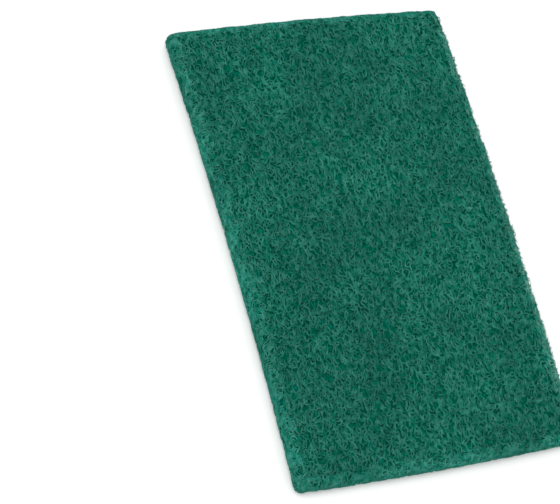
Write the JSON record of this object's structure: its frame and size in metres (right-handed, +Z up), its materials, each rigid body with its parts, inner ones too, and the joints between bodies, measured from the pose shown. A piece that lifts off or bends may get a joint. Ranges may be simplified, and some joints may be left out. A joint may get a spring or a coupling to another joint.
{
  "type": "scouring pad",
  "caption": "Flat rectangular slab of lofty green nonwoven nylon web, cut to size with small round corners and softly rounded edges, for scouring by hand.",
  "frame": {"origin": "middle of the flat underside, at the bottom of the bounding box", "axes": "+X along the width, +Y along the length, +Z up through the thickness"},
  "size_m": [0.0963, 0.15, 0.008],
  "materials": {
    "nylon_web": "dull, open curly web of resin-bonded nylon fibre with fine grit"
  },
  "bodies": {
    "root": {"scouring_pad": "nylon_web"}
  },
  "joints": []
}
